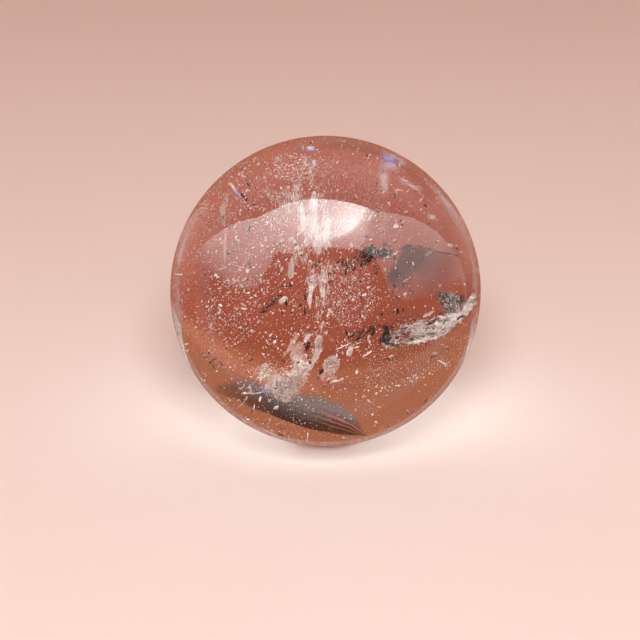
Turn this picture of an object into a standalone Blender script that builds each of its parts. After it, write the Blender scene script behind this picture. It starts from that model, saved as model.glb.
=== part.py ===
"""A polished sphere of clear rock crystal, one solid piece that rests on a small ground flat.

The origin is the centre of the flat, on the surface that the sphere stands on, with +Z up.
"""

import math

import bmesh
import bpy

# Driving dimensions, in metres
DIAMETER = 0.050
FLAT_DIAMETER = 0.007

# How finely the round surface is faceted
SEGMENTS = 92
RINGS = 48

RADIUS = DIAMETER / 2
FLAT_RADIUS = FLAT_DIAMETER / 2
FLAT_ANGLE = math.asin(FLAT_RADIUS / RADIUS)
CENTRE_HEIGHT = RADIUS * math.cos(FLAT_ANGLE)


def clear_scene():
    for existing in list(bpy.data.objects):
        bpy.data.objects.remove(existing)


def polished_quartz():
    """Colourless see-through crystal with a polished skin."""
    material = bpy.data.materials.new("polished_quartz")
    material.use_nodes = True
    shader = material.node_tree.nodes["Principled BSDF"]
    shader.inputs["Base Color"].default_value = (0.93, 0.90, 0.88, 1.0)
    shader.inputs["Metallic"].default_value = 0.0
    shader.inputs["Roughness"].default_value = 0.02
    shader.inputs["IOR"].default_value = 1.544
    shader.inputs["Transmission Weight"].default_value = 1.0
    return material


def profile_points():
    """Half of the outline, from the rim of the flat up to the top of the sphere."""
    sweep = math.pi - FLAT_ANGLE
    points = []
    for ring in range(RINGS + 1):
        angle = FLAT_ANGLE + sweep * ring / RINGS
        across = RADIUS * math.sin(angle) if ring < RINGS else 0.0
        points.append((across, 0.0, CENTRE_HEIGHT - RADIUS * math.cos(angle)))
    return points


def sphere_mesh():
    """The outline turned round Z, with the flat closing it at the bottom."""
    work = bmesh.new()
    outline = [work.verts.new(point) for point in profile_points()]
    for lower, upper in zip(outline, outline[1:]):
        work.edges.new((lower, upper))
    bmesh.ops.spin(
        work,
        geom=work.verts[:] + work.edges[:],
        axis=(0.0, 0.0, 1.0),
        cent=(0.0, 0.0, 0.0),
        angle=2 * math.pi,
        steps=SEGMENTS,
        use_merge=True,
    )
    bmesh.ops.remove_doubles(work, verts=work.verts, dist=1e-6)
    rim = [edge for edge in work.edges if edge.is_boundary]
    bmesh.ops.contextual_create(work, geom=rim)
    bmesh.ops.recalc_face_normals(work, faces=work.faces)
    for edge in rim:
        edge.smooth = False
    for face in work.faces:
        face.smooth = len(face.verts) <= 4
    mesh = bpy.data.meshes.new("quartz_sphere")
    work.to_mesh(mesh)
    work.free()
    return mesh


def main():
    clear_scene()
    sphere = bpy.data.objects.new("quartz_sphere", sphere_mesh())
    sphere.data.materials.append(polished_quartz())
    bpy.context.scene.collection.objects.link(sphere)


main()
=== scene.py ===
"""A polished ball of clear quartz, with the veils, fractures and grains that grew inside it."""

import math
import random

import bmesh
import bpy
from mathutils import Matrix, Quaternion, Vector, noise


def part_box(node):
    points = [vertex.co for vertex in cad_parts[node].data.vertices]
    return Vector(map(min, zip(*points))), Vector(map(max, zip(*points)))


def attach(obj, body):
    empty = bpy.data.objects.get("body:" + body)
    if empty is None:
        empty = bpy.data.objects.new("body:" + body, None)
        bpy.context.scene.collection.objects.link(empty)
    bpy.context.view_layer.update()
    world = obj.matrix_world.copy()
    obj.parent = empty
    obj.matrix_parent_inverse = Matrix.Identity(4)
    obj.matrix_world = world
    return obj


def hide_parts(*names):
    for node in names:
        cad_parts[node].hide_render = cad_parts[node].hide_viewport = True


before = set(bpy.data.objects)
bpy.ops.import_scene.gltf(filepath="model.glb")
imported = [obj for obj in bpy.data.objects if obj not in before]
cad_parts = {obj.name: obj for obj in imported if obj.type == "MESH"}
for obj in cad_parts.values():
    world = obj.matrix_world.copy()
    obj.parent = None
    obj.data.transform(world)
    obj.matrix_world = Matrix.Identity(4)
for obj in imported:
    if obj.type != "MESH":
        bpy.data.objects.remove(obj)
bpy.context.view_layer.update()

# The crystal, as the frame gives it. Lengths in the script are metres, and sizes of flakes are millimetres.
MM = 0.001
NOISE_SEED = 7  # so that the roughness of the flakes is the same in every run
BALL = "quartz_sphere"
LOW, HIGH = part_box(BALL)
RADIUS = (HIGH[0] - LOW[0]) / 2
CENTRE = Vector((0.0, 0.0, HIGH[2] - RADIUS))
QUARTZ_IOR = 1.544
SKIN = 0.97  # nothing inside comes nearer the skin than this share of the radius

# The camera. Pixels are those of the square photograph, with y down.
PICTURE = 640
BALL_MIDDLE = (325.5, 291.0)
LENS = 100.0
SENSOR = 36.0
CAMERA_ELEVATION = math.radians(28)
CAMERA_DISTANCE = 0.2873
VIEW_BACK = Vector((0.0, -math.cos(CAMERA_ELEVATION), math.sin(CAMERA_ELEVATION)))
VIEW_UP = Vector((0.0, math.sin(CAMERA_ELEVATION), math.cos(CAMERA_ELEVATION)))
VIEW_RIGHT = Vector((1.0, 0.0, 0.0))
CAMERA_PLACE = CENTRE + VIEW_BACK * CAMERA_DISTANCE
PIXEL = 0.155 * MM  # about what one pixel spans inside the crystal

BATCH = 50  # flakes made at a time, because one large bmesh grows slow
ROUGH_GRAIN = 0.21 * MM  # the noise that roughens small flakes changes over this length
TORN_GRAIN = 0.45 * MM  # and the noise that tears large ones over this one


# Places inside the crystal


def sight_line(pixel):
    """Where the view through a pixel enters the crystal, and its direction inside, by Snell's law."""
    across = (pixel[0] - BALL_MIDDLE[0]) / PICTURE * SENSOR / LENS
    down = (pixel[1] - BALL_MIDDLE[1]) / PICTURE * SENSOR / LENS
    ray = (VIEW_RIGHT * across - VIEW_UP * down - VIEW_BACK).normalized()
    to_ball = CENTRE - CAMERA_PLACE
    nearest = to_ball.dot(ray)
    half_chord = math.sqrt(RADIUS**2 - to_ball.length_squared + nearest**2)
    entry = CAMERA_PLACE + ray * (nearest - half_chord)
    outward = (entry - CENTRE) / RADIUS
    facing = -ray.dot(outward)
    bend = 1 / QUARTZ_IOR
    inside = ray * bend + outward * (bend * facing - math.sqrt(1 - bend**2 * (1 - facing**2)))
    return entry, inside.normalized()


def seen_at(x, y, depth):
    """The place that shows at a pixel, at a share of the way through, from the front skin to the back."""
    entry, inside = sight_line((x, y))
    chord = -2 * (entry - CENTRE).dot(inside)
    return entry + inside * chord * depth


def kept_inside(place):
    """The place, drawn back under the skin if it is outside."""
    out = place - CENTRE
    reach = RADIUS * SKIN
    if out.length > reach:
        out = out.normalized() * reach
    return CENTRE + out


def lean(degrees, into=0.0):
    """A direction that shows at this angle above the picture's right, pointing partly into the crystal."""
    angle = math.radians(degrees)
    return (VIEW_RIGHT * math.cos(angle) + VIEW_UP * math.sin(angle) - VIEW_BACK * into).normalized()


def places_at(points):
    """The places that show at points of the picture, each given with its depth."""
    return [seen_at(*point) for point in points]


def on_sheet(corners, across, down):
    """The place at these shares of the width and the height between four corners."""
    top = corners[0].lerp(corners[1], across)
    foot = corners[3].lerp(corners[2], across)
    return top.lerp(foot, down)


def along(points, share):
    """The point at a share of the way along a line of points, from 0 to 1."""
    position = min(max(share, 0.0), 0.9999) * (len(points) - 1)
    index = int(position)
    return points[index].lerp(points[index + 1], position - index)


def wander(rng, amount):
    """A random step, any way."""
    return Vector((rng.gauss(0, amount), rng.gauss(0, amount), rng.gauss(0, amount)))


# Flakes, dots and grains


def flake(place, way, length, width, thickness, roll=0.0):
    """One flake as a matrix: its place, its long way, and its sizes in millimetres."""
    turn = way.to_track_quat("Z", "Y") @ Quaternion((0.0, 0.0, 1.0), roll)
    halves = Vector((width, thickness, length)) * (MM / 2)
    return Matrix.LocRotScale(kept_inside(place), turn, halves)


def tumbled(rng, place, length, width, thickness):
    """A flake that lies any way."""
    way = wander(rng, 1.0).normalized()
    return flake(place, way, length, width, thickness, rng.uniform(0, math.pi))


def leaning(rng, place, way, spread, length, width, thickness):
    """A flake that lies near a given way."""
    near = (way + wander(rng, spread)).normalized()
    return flake(place, near, length, width, thickness, rng.uniform(0, math.pi))


def flakes_mesh(flakes, roughen):
    """Many flakes joined in one bmesh. Each is a rough 20-sided lens, pushed out of true by noise."""
    joined = bmesh.new()
    batch_mesh = bpy.data.meshes.new("batch")
    for start in range(0, len(flakes), BATCH):
        batch = bmesh.new()
        for matrix in flakes[start : start + BATCH]:
            grown = bmesh.ops.create_icosphere(batch, subdivisions=1, radius=1.0, matrix=matrix)
            push = matrix.to_scale().x * roughen
            for vert in grown["verts"]:
                vert.co += noise.noise_vector(vert.co / ROUGH_GRAIN) * push
        batch.to_mesh(batch_mesh)
        batch.free()
        joined.from_mesh(batch_mesh)
    bpy.data.meshes.remove(batch_mesh)
    return joined


def finished_object(name, work, finish):
    """The bmesh as an object with this finish."""
    mesh = bpy.data.meshes.new(name)
    work.to_mesh(mesh)
    work.free()
    mesh.materials.append(finish)
    piece = bpy.data.objects.new(name, mesh)
    bpy.context.scene.collection.objects.link(piece)
    return piece


def place_piece(name, work, finish):
    """The finished bmesh as a piece that rides with the crystal."""
    piece = finished_object(name, work, finish)
    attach(piece, "root")
    return piece


def thicken(work, offset):
    """Gives an open sheet a back at this offset, and closes its edges."""
    grown = bmesh.ops.extrude_face_region(work, geom=work.faces[:], use_keep_orig=True)
    back = [item for item in grown["geom"] if isinstance(item, bmesh.types.BMVert)]
    bmesh.ops.translate(work, verts=back, vec=offset)
    bmesh.ops.recalc_face_normals(work, faces=work.faces)


def uv_grid(steps):
    """A flat grid one unit wide, with a UV layer."""
    work = bmesh.new()
    work.loops.layers.uv.new("sheet")
    bmesh.ops.create_grid(work, x_segments=steps[0], y_segments=steps[1], size=0.5, calc_uvs=True)
    for face in work.faces:
        face.smooth = True
    return work


def picture_sheet(corners, steps):
    """A sheet over a patch of the picture, its corners given clockwise from the top left."""
    work = uv_grid(steps)
    flat = [Vector(corner) for corner in corners]
    for vert in work.verts:
        spot = on_sheet(flat, vert.co.x + 0.5, 0.5 - vert.co.y)
        vert.co = kept_inside(seen_at(*spot))
    return work


def strip(lower, upper, steps):
    """A sheet between two lines of places, and the shares across and up of its points."""
    work = uv_grid(steps)
    shares = {vert: (vert.co.x + 0.5, vert.co.y + 0.5) for vert in work.verts}
    for vert, (across, up) in shares.items():
        vert.co = kept_inside(along(lower, across).lerp(along(upper, across), up))
    return work, shares


def flake_piece(name, flakes, finish, roughen=0.5):
    """Many flakes as one piece."""
    return place_piece(name, flakes_mesh(flakes, roughen), finish)


# Finishes


def new_finish(name):
    """A new material, with its node tree and its shader."""
    material = bpy.data.materials.new(name)
    material.use_nodes = True
    tree = material.node_tree
    return material, tree, tree.nodes["Principled BSDF"]


def own_place(tree, stretch=(1.0, 1.0, 1.0)):
    """The piece's own coordinates, stretched for patterns with a grain."""
    coordinates = tree.nodes.new("ShaderNodeTexCoord")
    mapping = tree.nodes.new("ShaderNodeMapping")
    mapping.inputs["Scale"].default_value = stretch
    tree.links.new(coordinates.outputs["Object"], mapping.inputs["Vector"])
    return mapping.outputs["Vector"]


def mottle(tree, place, scale, detail=4.0, roughness=0.55):
    """Noise over the piece, with so many grains to the metre."""
    texture = tree.nodes.new("ShaderNodeTexNoise")
    texture.inputs["Scale"].default_value = scale
    texture.inputs["Detail"].default_value = detail
    texture.inputs["Roughness"].default_value = roughness
    tree.links.new(place, texture.inputs["Vector"])
    return texture.outputs["Fac"]


def shaded(tree, value, *stops):
    """A colour ramp over a value, from stops of position and colour."""
    ramp = tree.nodes.new("ShaderNodeValToRGB")
    elements = ramp.color_ramp.elements
    while len(elements) < len(stops):
        elements.new(0.5)
    for element, (position, colour) in zip(elements, stops):
        element.position = position
        element.color = (*colour, 1.0)
    tree.links.new(value, ramp.inputs["Fac"])
    return ramp.outputs["Color"]


def ranged(tree, value, low, high, start=0.3, end=0.7):
    """A value moved from one range into another."""
    node = tree.nodes.new("ShaderNodeMapRange")
    node.inputs["From Min"].default_value = start
    node.inputs["From Max"].default_value = end
    node.inputs["To Min"].default_value = low
    node.inputs["To Max"].default_value = high
    tree.links.new(value, node.inputs["Value"])
    return node.outputs["Result"]


def bumped(tree, shader, value, strength, distance):
    """Raises the surface where the value is high."""
    bump = tree.nodes.new("ShaderNodeBump")
    bump.inputs["Strength"].default_value = strength
    bump.inputs["Distance"].default_value = distance
    tree.links.new(value, bump.inputs["Height"])
    tree.links.new(bump.outputs["Normal"], shader.inputs["Normal"])


def parts_of(tree, vector):
    """The X, Y and Z of a vector."""
    split = tree.nodes.new("ShaderNodeSeparateXYZ")
    tree.links.new(vector, split.inputs["Vector"])
    return split.outputs


def worked_out(tree, operation, first, second):
    """The sum, product or difference of two values."""
    node = tree.nodes.new("ShaderNodeMath")
    node.operation = operation
    tree.links.new(first, node.inputs[0])
    tree.links.new(second, node.inputs[1])
    return node.outputs["Value"]


def added(tree, first, second):
    return worked_out(tree, "ADD", first, second)


def less(tree, first, second):
    return worked_out(tree, "SUBTRACT", first, second)


def multiplied(tree, first, second):
    return worked_out(tree, "MULTIPLY", first, second)


def fade_at_edges(tree, value, start_width, end_width):
    """One in the middle of a 0 to 1 range, falling to zero over these widths at its two ends."""
    rise = ranged(tree, value, 0.0, 1.0, 0.0, start_width)
    fall = ranged(tree, value, 1.0, 0.0, 1.0 - end_width, 1.0)
    return multiplied(tree, rise, fall)


def film_finish(name, roughness):
    """A finish for a sheet with a UV layer, with the shares across and up that the layer gives."""
    material, tree, shader = new_finish(name)
    shader.inputs["Roughness"].default_value = roughness
    uv = tree.nodes.new("ShaderNodeUVMap")
    uv.uv_map = "sheet"
    across, up, _ = parts_of(tree, uv.outputs["UV"])
    return material, tree, shader, across, up


def polished_quartz():
    """Clear crystal: see-through, with the faintest haze and ripple left by the polishing."""
    material, tree, shader = new_finish("polished_quartz")
    shader.inputs["Base Color"].default_value = (1.0, 1.0, 1.0, 1.0)
    shader.inputs["Transmission Weight"].default_value = 1.0
    shader.inputs["IOR"].default_value = QUARTZ_IOR
    place = own_place(tree)
    haze = mottle(tree, place, 140.0)
    tree.links.new(ranged(tree, haze, 0.0, 0.012), shader.inputs["Roughness"])
    bumped(tree, shader, mottle(tree, place, 90.0, detail=1.0), 0.02, 0.0001)
    depth = tree.nodes.new("ShaderNodeVolumeAbsorption")
    depth.inputs["Color"].default_value = (0.97, 0.93, 0.91, 1.0)
    depth.inputs["Density"].default_value = 4.0
    output = tree.nodes["Material Output"]
    tree.links.new(depth.outputs["Volume"], output.inputs["Volume"])
    return material


def frosted(name, dim, bright, alphas=None):
    """Tiny bubbles and healed cracks, which show as warm frost between these two tones.

    Where two alphas are given, the frost is thin enough to see through in patches.
    """
    material, tree, shader = new_finish(name)
    place = own_place(tree)
    cloud = mottle(tree, place, 1000.0)
    tree.links.new(shaded(tree, cloud, (0.32, dim), (0.6, bright)), shader.inputs["Base Color"])
    tree.links.new(ranged(tree, cloud, 0.55, 0.3), shader.inputs["Roughness"])
    if alphas:
        tree.links.new(ranged(tree, cloud, *alphas), shader.inputs["Alpha"])
    bumped(tree, shader, mottle(tree, place, 9000.0), 0.4, 0.00005)
    return material


def frosts():
    """The frosted finishes by name."""
    return {
        "white": frosted("white_veil", (0.66, 0.54, 0.47), (0.96, 0.90, 0.85)),
        "faint": frosted("faint_veil", (0.84, 0.72, 0.66), (1.0, 0.95, 0.92), (0.15, 0.70)),
        "cream": frosted("cream_flake", (0.46, 0.34, 0.28), (0.64, 0.51, 0.44), (0.75, 0.95)),
        "cloudy": frosted("cloud_frost", (0.72, 0.57, 0.50), (0.95, 0.83, 0.76), (0.25, 0.62)),
        "ghost": frosted("ghost_flake", (0.70, 0.50, 0.42), (0.85, 0.68, 0.60), (0.10, 0.34)),
    }


def silver_fracture():
    """An open crack like crumpled foil, whose mirror sheen is painted into its colour as streaks from near
    black to pale.
    """
    material, tree, shader = new_finish("silver_fracture")
    place = own_place(tree, (0.35, 1.0, 1.0))
    streaks = mottle(tree, place, 1500.0, detail=6.0)
    colour = shaded(
        tree, streaks, (0.34, (0.14, 0.10, 0.085)), (0.44, (0.52, 0.43, 0.38)), (0.62, (0.93, 0.88, 0.84))
    )
    tree.links.new(colour, shader.inputs["Base Color"])
    tree.links.new(ranged(tree, streaks, 0.45, 0.22), shader.inputs["Roughness"])
    shader.inputs["Metallic"].default_value = 0.12
    bumped(tree, shader, streaks, 0.6, 0.0002)
    return material


def fracture_sheet():
    """The same foil on the big crack, with its sheen painted in: dark and finely wrinkled at its left, pale
    and solid at its right.
    """
    material, tree, shader, across, up = film_finish("fracture_sheet", 0.3)
    shader.inputs["Metallic"].default_value = 0.12
    streaks = mottle(tree, own_place(tree, (0.35, 1.0, 1.0)), 1700.0, detail=6.0)
    # Painted sheen: paler towards the right, and along the lower edge
    paler = ranged(tree, across, -0.13, 0.13, 0.05, 0.66)
    rim = ranged(tree, up, 0.16, 0.0, 0.05, 0.22)
    tone = added(tree, added(tree, streaks, paler), rim)
    colour = shaded(
        tree,
        tone,
        (0.36, (0.07, 0.05, 0.045)),
        (0.46, (0.34, 0.27, 0.24)),
        (0.56, (0.66, 0.57, 0.52)),
        (0.72, (0.88, 0.81, 0.77)),
    )
    tree.links.new(colour, shader.inputs["Base Color"])
    bumped(tree, shader, streaks, 0.7, 0.0002)
    return material


def dark_grains():
    """Near-black: the colour of mineral grains, and painted shade for crack edges that mirror the dark, for
    gaps and beside specks.
    """
    material, tree, shader = new_finish("dark_grains")
    place = own_place(tree)
    speckle = mottle(tree, place, 2500.0)
    colour = shaded(tree, speckle, (0.35, (0.004, 0.003, 0.003)), (0.75, (0.045, 0.035, 0.032)))
    tree.links.new(colour, shader.inputs["Base Color"])
    tree.links.new(ranged(tree, speckle, 0.35, 0.6), shader.inputs["Roughness"])
    shader.inputs["Specular IOR Level"].default_value = 0.2
    bumped(tree, shader, speckle, 0.4, 0.00005)
    return material


def rainbow_film():
    """A thin crack, whose split light is painted into its colour in bands across its own length."""
    material, tree, shader = new_finish("rainbow_film")
    place = own_place(tree, (1.0, 0.4, 1.3))
    bands = tree.nodes.new("ShaderNodeTexWave")
    bands.inputs["Scale"].default_value = 260.0
    bands.inputs["Distortion"].default_value = 2.5
    tree.links.new(place, bands.inputs["Vector"])
    colour = shaded(
        tree,
        bands.outputs["Fac"],
        (0.0, (0.80, 0.40, 0.22)),
        (0.3, (0.72, 0.68, 0.45)),
        (0.55, (0.55, 0.66, 0.80)),
        (1.0, (0.45, 0.42, 0.75)),
    )
    tree.links.new(colour, shader.inputs["Base Color"])
    tree.links.new(ranged(tree, bands.outputs["Fac"], 0.2, 0.35), shader.inputs["Roughness"])
    tree.links.new(ranged(tree, mottle(tree, place, 900.0), 0.15, 0.75), shader.inputs["Alpha"])
    return material


def painted_dark_film(name, dark, light, sides, ends):
    """A smooth crack seen at a slant, whose dark mirroring is painted as a dark sheet that dims what is
    behind it and fades out towards its edges.
    """
    material, tree, shader, across, up = film_finish(name, 0.25)
    cloud = mottle(tree, own_place(tree), 260.0)
    tree.links.new(shaded(tree, cloud, (0.3, dark), (0.7, light)), shader.inputs["Base Color"])
    both = multiplied(tree, fade_at_edges(tree, across, *sides), fade_at_edges(tree, up, *ends))
    tree.links.new(multiplied(tree, both, ranged(tree, cloud, 0.65, 0.92)), shader.inputs["Alpha"])
    return material


def shadow_film():
    """The dark inside of the disc, soft at its edges."""
    material, tree, shader, across, up = film_finish("shadow_film", 0.4)
    place = own_place(tree, (1.0, 1.0, 0.3))
    grain = mottle(tree, place, 1800.0)
    colour = shaded(tree, grain, (0.42, (0.012, 0.009, 0.008)), (0.66, (0.10, 0.07, 0.06)))
    tree.links.new(colour, shader.inputs["Base Color"])
    both = multiplied(tree, fade_at_edges(tree, across, 0.30, 0.12), fade_at_edges(tree, up, 0.18, 0.10))
    tree.links.new(multiplied(tree, both, ranged(tree, grain, 1.0, 0.85)), shader.inputs["Alpha"])
    return material


def prism_film():
    """Painted split light: streaks, orange and blue on the dark, which run the long way of the sheet."""
    material, tree, shader, across, up = film_finish("prism_film", 0.3)
    streaks = mottle(tree, own_place(tree, (0.3, 1.0, 1.0)), 500.0, detail=3.0)
    shift = ranged(tree, streaks, -0.03, 0.03)
    colour = shaded(tree, added(tree, up, shift), *PRISM_COLOURS)
    tree.links.new(colour, shader.inputs["Base Color"])
    # Split light is brighter than what lights a film inside the crystal, so the film glows a little
    tree.links.new(colour, shader.inputs["Emission Color"])
    shader.inputs["Emission Strength"].default_value = 0.5
    both = multiplied(tree, fade_at_edges(tree, across, 0.45, 0.04), fade_at_edges(tree, up, 0.05, 0.30))
    tree.links.new(multiplied(tree, both, ranged(tree, streaks, 0.75, 1.0)), shader.inputs["Alpha"])
    return material


def pastel_film(name, thickest, *stops):
    """A painted glint of split light near the skin: soft colours across a sheet that fades on all sides."""
    material, tree, shader, across, up = film_finish(name, 0.25)
    place = own_place(tree)
    tree.links.new(shaded(tree, up, *stops), shader.inputs["Base Color"])
    both = multiplied(tree, fade_at_edges(tree, across, 0.35, 0.35), fade_at_edges(tree, up, 0.35, 0.35))
    patches = ranged(tree, mottle(tree, place, 700.0), 0.5 * thickest, thickest)
    tree.links.new(multiplied(tree, both, patches), shader.inputs["Alpha"])
    return material


# The crystal


def crystal_ball(finish):
    """The fine round body, cut flat where it rests."""
    work = bmesh.new()
    bmesh.ops.create_icosphere(work, subdivisions=7, radius=RADIUS, matrix=Matrix.Translation(CENTRE))
    everything = work.verts[:] + work.edges[:] + work.faces[:]
    bmesh.ops.bisect_plane(
        work, geom=everything, plane_co=(0.0, 0.0, 0.0), plane_no=(0.0, 0.0, -1.0), clear_outer=True
    )
    rim = [edge for edge in work.edges if edge.is_boundary]
    bmesh.ops.contextual_create(work, geom=rim)
    for edge in rim:
        edge.smooth = False
    for face in work.faces:
        face.smooth = len(face.verts) <= 4
    piece = place_piece("crystal_ball", work, finish)
    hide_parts(BALL)


# Specks through the left half

SPECKS = 7600
DUST = 4200
SPECK_LEAN = 52
SPECK_LENGTHS = (-1.95, 0.5)  # middle and spread of the logarithm of their lengths in millimetres
LONGEST_SPECK = 0.6
DUST_SIZES = (0.04, 0.09)
STRING_WIDTH = 0.075  # how closely the specks keep to their curved sheets
SHADOW_SHARE = 0.2  # of the specks, each with a dark one beside it as its painted shadow


def crowding(place):
    """How thick the specks are at a place in a ball of radius 1: most at the left, in curved sheets."""
    side = min(max(0.58 - 0.85 * place.x, 0.05), 1.0)
    strings = noise.noise(place * 2.3 + Vector((4.1, 0.3, 7.7)))
    gaps = 0.5 + 0.9 * noise.noise(place * 5.0)
    return side * max(gaps, 0.0) * (0.25 + 0.75 * math.exp(-((strings / STRING_WIDTH) ** 2)))


def speck_places(rng, count):
    """Places throughout the ball, crowded where the specks are."""
    places = []
    while len(places) < count:
        place = Vector((rng.uniform(-1, 1), rng.uniform(-1, 1), rng.uniform(-1, 1)))
        if place.length < SKIN and rng.random() < crowding(place):
            places.append(CENTRE + place * RADIUS)
    return places


# Patches of extra specks: x, y, half width and half height in pixels, lean, how many
SPECK_FIELDS = ((292, 167, 27, 14, 10, 240), (232, 312, 26, 34, 40, 160))
FAINT_FIELDS = ((350, 293, 26, 34, 58, 560), (340, 290, 20, 30, 58, 160))
FIELD_DEPTHS = (0.25, 0.6)
FIELD_LENGTHS = (0.12, 0.30)


def field_specks(rng, fields):
    """Extra fine specks in patches of the picture."""
    specks = []
    for x, y, half_width, half_height, angle, count in fields:
        for _ in range(count):
            turn = rng.uniform(0, 2 * math.pi)
            out = math.sqrt(rng.random())
            spot = (x + math.cos(turn) * out * half_width, y + math.sin(turn) * out * half_height)
            place = seen_at(*spot, rng.uniform(*FIELD_DEPTHS))
            length = rng.uniform(*FIELD_LENGTHS)
            way = lean(angle + rng.gauss(0, 25))
            specks.append(leaning(rng, place, way, 0.2, length, length * 0.45, length * 0.3))
    return specks


def make_specks(white, faint, dark):
    """The specks, some with a dark one beside them as a painted shadow, the dust between them, and the
    extra patches.
    """
    rng = random.Random(11)
    bright = []
    shadows = []
    for place in speck_places(rng, SPECKS):
        length = min(rng.lognormvariate(*SPECK_LENGTHS), LONGEST_SPECK)
        way = lean(SPECK_LEAN + rng.gauss(0, 30), rng.uniform(-0.6, 0.6))
        bright.append(leaning(rng, place, way, 0.3, length, length * 0.6, length * 0.35))
        if rng.random() < SHADOW_SHARE:
            beside = place + lean(rng.uniform(180, 300)) * (length * 0.8 * MM)
            shadows.append(leaning(rng, beside, way, 0.5, length * 1.1, length * 0.55, length * 0.3))
    dust = []
    for place in speck_places(rng, DUST):
        size = rng.uniform(*DUST_SIZES)
        dust.append(tumbled(rng, place, size, size, size * 0.7))
    flake_piece("specks", bright + field_specks(rng, SPECK_FIELDS), white, 0.5)
    flake_piece("faint_specks", field_specks(rng, FAINT_FIELDS), faint, 0.5)
    flake_piece("speck_dust", dust, white, 0.3)
    flake_piece("speck_shadows", shadows, dark, 0.6)


# Mist of fine dots above the middle, which ends in a sharp edge at the right

MIST_EDGE = ((374, 160, 0.40), (379, 179, 0.40), (386, 196, 0.40), (388, 216, 0.42), (386, 236, 0.43))
MIST_WIDTH = 62  # pixels
MIST_DEPTH = 2.5  # millimetres to the front and to the back
MIST_DOTS = 3400
MIST_DOT_SIZES = (0.035, 0.075)


def make_mist(white):
    rng = random.Random(12)
    edge = places_at(MIST_EDGE)
    dots = []
    for _ in range(MIST_DOTS):
        aside = MIST_WIDTH * rng.random() ** 1.5 * PIXEL
        place = along(edge, rng.random()) - VIEW_RIGHT * aside
        place -= VIEW_BACK * rng.uniform(-MIST_DEPTH, MIST_DEPTH) * MM
        size = rng.uniform(*MIST_DOT_SIZES)
        dots.append(tumbled(rng, place, size, size, size * 0.7))
    flake_piece("mist", dots, white, 0.3)


# The feathery upright veil

VEIL_TUFTS = (
    # x, y, depth, half width and half height in pixels, lean, how many clumps of blades
    (296, 193, 0.40, 5, 13, 94, 16), (288, 190, 0.40, 3, 9, 100, 6), (305, 171, 0.38, 4, 9, 80, 6),
    (311, 176, 0.38, 3, 9, 70, 5), (319, 189, 0.38, 4, 4, 60, 5), (268, 193, 0.38, 7, 7, 104, 8),
    (280, 200, 0.39, 5, 7, 100, 7), (289, 210, 0.40, 5, 9, 96, 8), (303, 222, 0.42, 5, 14, 91, 10),
    (315, 214, 0.42, 6, 16, 89, 18), (322, 228, 0.43, 5, 17, 88, 16), (311, 236, 0.43, 8, 12, 89, 14),
    (298, 258, 0.44, 5, 8, 92, 6), (310, 262, 0.45, 6, 11, 88, 6), (314, 276, 0.46, 8, 6, 60, 7),
    (325, 283, 0.46, 4, 17, 84, 7), (312, 292, 0.46, 6, 13, 92, 4), (319, 304, 0.47, 5, 8, 84, 3),
    (319, 324, 0.48, 3.5, 12, 88, 4), (317, 338, 0.49, 3, 5, 80, 2), (276, 216, 0.40, 9, 12, 96, 4),
    (331, 262, 0.44, 5, 10, 84, 3), (283, 165, 0.36, 12, 9, 70, 6), (330, 168, 0.36, 10, 9, 80, 3),
)
CLUMP_BLADES = 16
VEIL_DEPTH = 5.0  # how far the sheet runs into the crystal, in millimetres
SOLID_SHARE = 0.25  # of the blades, the rest are thin enough to see through


def make_veil(white, faint):
    """Clumps of fine upright blades along a sheet that is seen almost edge on, thinning out downwards."""
    rng = random.Random(13)
    blades = {True: [], False: []}
    for x, y, depth, half_width, half_height, angle, clumps in VEIL_TUFTS:
        for _ in range(clumps):
            aside, up = rng.gauss(0, 0.5), rng.uniform(-1, 1)
            clump = seen_at(x + aside * half_width, y - up * half_height, depth)
            clump -= VIEW_BACK * (rng.uniform(-0.5, 0.5) * VEIL_DEPTH * MM)
            fan = angle - aside * 8 + rng.gauss(0, 4)
            height = half_height * PIXEL / MM * rng.uniform(0.25, 0.8)
            spread = rng.uniform(0.06, 0.42) * MM
            for _ in range(CLUMP_BLADES):
                rise = lean(fan) * (rng.uniform(-0.6, 0.6) * height * MM)
                place = clump + rise + VIEW_RIGHT * rng.gauss(0, spread) - VIEW_BACK * rng.gauss(0, spread)
                length = height * rng.uniform(0.15, 0.8)
                wide = rng.uniform(0.03, 0.085)
                way = lean(fan + rng.gauss(0, 5), rng.uniform(-0.2, 0.2))
                blade = flake(place, way, length, wide, wide * 0.5, rng.uniform(0, math.pi))
                blades[rng.random() < SOLID_SHARE].append(blade)
    flake_piece("upright_veil", blades[True], white, 0.5)
    flake_piece("veil_haze", blades[False], faint, 0.5)


# Faint wisps at the upper right

WISPS = (
    # x, y, depth, half width and half height in pixels, lean, how many flakes
    (404, 180, 0.22, 13, 2.2, -22, 110), (411, 187, 0.24, 12, 2, -30, 80), (396, 172, 0.22, 9, 3, -30, 60),
    (382, 168, 0.30, 4, 10, 80, 60), (421, 193, 0.22, 8, 2, -34, 40), (432, 217, 0.3, 4, 3, 50, 50),
    (262, 176, 0.34, 10, 6, 40, 40), (236, 280, 0.36, 9, 9, 60, 50), (228, 284, 0.4, 5, 5, 60, 30),
)


def make_wisps(faint):
    rng = random.Random(22)
    flakes = []
    for x, y, depth, half_width, half_height, angle, count in WISPS:
        slant = math.tan(math.radians(angle)) if abs(angle) < 45 else 0.0
        for _ in range(count):
            aside, down = rng.gauss(0, 0.5) * half_width, rng.gauss(0, 0.5) * half_height
            place = seen_at(x + aside, y + down - aside * slant, depth)
            length = rng.uniform(0.06, 0.32)
            flakes.append(leaning(rng, place, lean(angle), 0.3, length, 0.07, 0.04))
    flake_piece("wisps", flakes, faint, 0.6)


# The crumbly white cloud low in the crystal

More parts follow.
